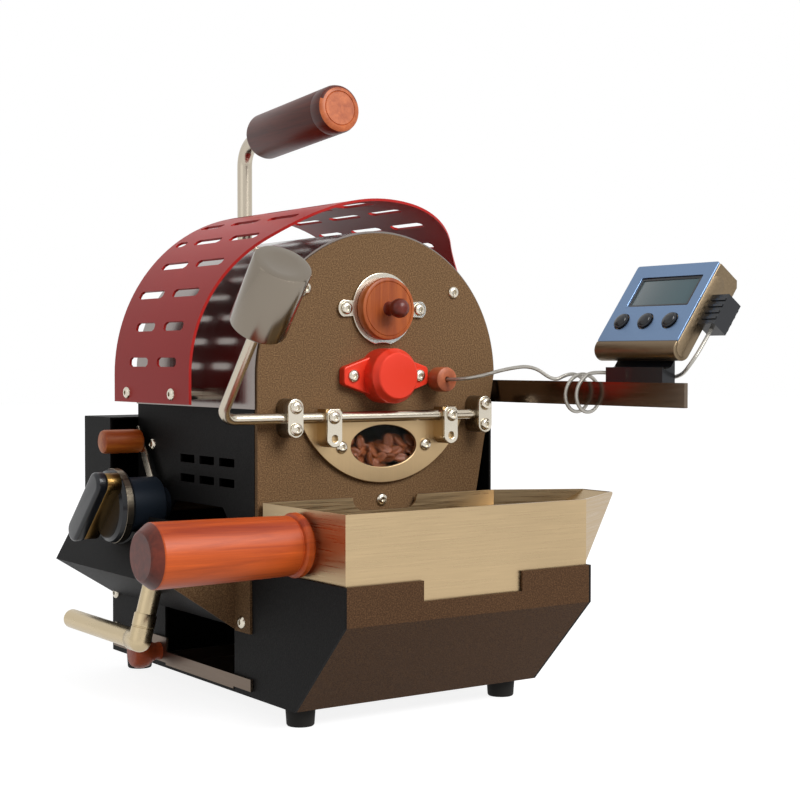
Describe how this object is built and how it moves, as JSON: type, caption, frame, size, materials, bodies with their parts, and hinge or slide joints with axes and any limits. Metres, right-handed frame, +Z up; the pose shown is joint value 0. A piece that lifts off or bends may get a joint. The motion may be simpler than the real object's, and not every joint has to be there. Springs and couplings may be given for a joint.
{
  "type": "home coffee bean roaster",
  "caption": "Countertop gas coffee roaster: turning drum in an arched body, weighted discharge door, cooling tray with spout, perforated red cover and a thermometer on an arm.",
  "frame": {"origin": "on the ground, straight under the drum's axis, in the plane of the front plate's face", "axes": "+Z up, the front with the discharge door faces -Y, +X to the viewer's right; the drum turns about Y"},
  "size_m": [0.3121, 0.3695, 0.3748],
  "materials": {
    "bronze_powder": "fine textured dark bronze powder coat",
    "dark_powder": "fine textured near-black powder coat",
    "polished_sheet": "polished stainless sheet",
    "cover_red": "satin deep red",
    "plain_steel": "plain machined steel",
    "bearing_red": "red anodised",
    "drum_steel": "heat-stained steel",
    "bright_steel": "polished",
    "red_wood": "oiled turned wood",
    "tray_steel": "brushed stainless sheet with a tan cast",
    "clear_glass": "clear, faintly smoked",
    "pale_brass": "dull machined brass",
    "black_plastic": "moulded black plastic",
    "tan_wood": "oiled turned wood",
    "black_rubber": "moulded rubber",
    "meter_steel": "satin stainless case",
    "screen_dark": "grey-green display",
    "lead_steel": "braided steel sleeve"
  },
  "bodies": {
    "frame": {"base_pan": "bronze_powder", "left_side_panel": "dark_powder", "right_side_panel": "dark_powder", "front_plate": "bronze_powder", "rear_plate": "bronze_powder", "outer_shell": "polished_sheet", "perforated_cover": "cover_red", "cover_standoffs": "plain_steel", "rear_box": "dark_powder", "motor_bracket": "plain_steel", "drum_motor": "plain_steel", "front_bearing": "bearing_red", "rear_bearing": "bearing_red", "charge_ring": "bright_steel", "probe_knob": "red_wood", "probe_stem": "bright_steel", "rod_clamps": "bright_steel", "clamp_plates": "bright_steel", "button_screws": "plain_steel", "burner_trough": "dark_powder", "trough_gusset": "bronze_powder", "burner_tube": "plain_steel", "gas_valve": "plain_steel", "gas_inlet": "pale_brass", "feet": "black_rubber", "carry_rod": "bright_steel", "carry_grip": "red_wood", "meter_arm": "plain_steel", "meter_clip": "black_plastic", "meter_case": "meter_steel", "meter_screen": "screen_dark", "lead_plug": "black_plastic", "probe_lead": "lead_steel", "lead_winding": "lead_steel", "meter_lead": "lead_steel"},
    "drum": {"drum_barrel": "drum_steel", "drum_vanes": "drum_steel", "drum_spider": "drum_steel", "drum_shaft": "plain_steel"},
    "door": {"door_plate": "tray_steel", "sight_glass": "clear_glass", "door_blocks": "pale_brass", "door_links": "bright_steel", "door_screws": "plain_steel", "hinge_rod": "bright_steel", "counterweight": "bright_steel"},
    "plug": {"charge_plug": "red_wood", "plug_knob": "red_wood"},
    "valve_knob": {"gas_knob": "black_plastic"},
    "lever": {"burner_lever": "plain_steel", "lever_grip": "tan_wood"},
    "drawer": {"chaff_drawer": "bronze_powder", "drawer_knob": "red_wood"},
    "tray": {"cooling_tray": "tray_steel", "tray_handle": "tan_wood"},
    "button_back": {"meter_button_back": "black_rubber"},
    "button_middle": {"meter_button_middle": "black_rubber"},
    "button_front": {"meter_button_front": "black_rubber"}
  },
  "joints": [
    {"name": "drum_turn", "type": "hinge", "parent": "frame", "child": "drum", "pos_m": [0, 0, 0.1953], "axis": [0, 1, 0], "continuous": true},
    {"name": "door_swing", "type": "hinge", "parent": "frame", "child": "door", "pos_m": [0, -0.008, 0.1715], "axis": [-1, 0, 0], "range_deg": [0, 60]},
    {"name": "plug_pull", "type": "slide", "parent": "frame", "child": "plug", "axis": [0, -1, 0], "range_m": [0, 0.03]},
    {"name": "gas_turn", "type": "hinge", "parent": "frame", "child": "valve_knob", "pos_m": [-0.118, 0.118, 0.115], "axis": [-1, 0, 0], "range_deg": [0, 90]},
    {"name": "lever_swing", "type": "hinge", "parent": "frame", "child": "lever", "pos_m": [-0.0895, 0.118, 0.115], "axis": [1, 0, 0], "range_deg": [0, 60]},
    {"name": "drawer_slide", "type": "slide", "parent": "frame", "child": "drawer", "axis": [-1, 0, 0], "range_m": [0, 0.12]},
    {"name": "tray_lift", "type": "slide", "parent": "frame", "child": "tray", "axis": [0, 0, 1], "range_m": [0, 0.026]},
    {"name": "button_back_press", "type": "slide", "parent": "frame", "child": "button_back", "axis": [0.807, 0, -0.5906], "range_m": [0, 0.0008], "stiffness_N_per_m": 400, "springref_m": -0.001},
    {"name": "button_middle_press", "type": "slide", "parent": "frame", "child": "button_middle", "axis": [0.807, 0, -0.5906], "range_m": [0, 0.0008], "stiffness_N_per_m": 400, "springref_m": -0.001},
    {"name": "button_front_press", "type": "slide", "parent": "frame", "child": "button_front", "axis": [0.807, 0, -0.5906], "range_m": [0, 0.0008], "stiffness_N_per_m": 400, "springref_m": -0.001}
  ]
}
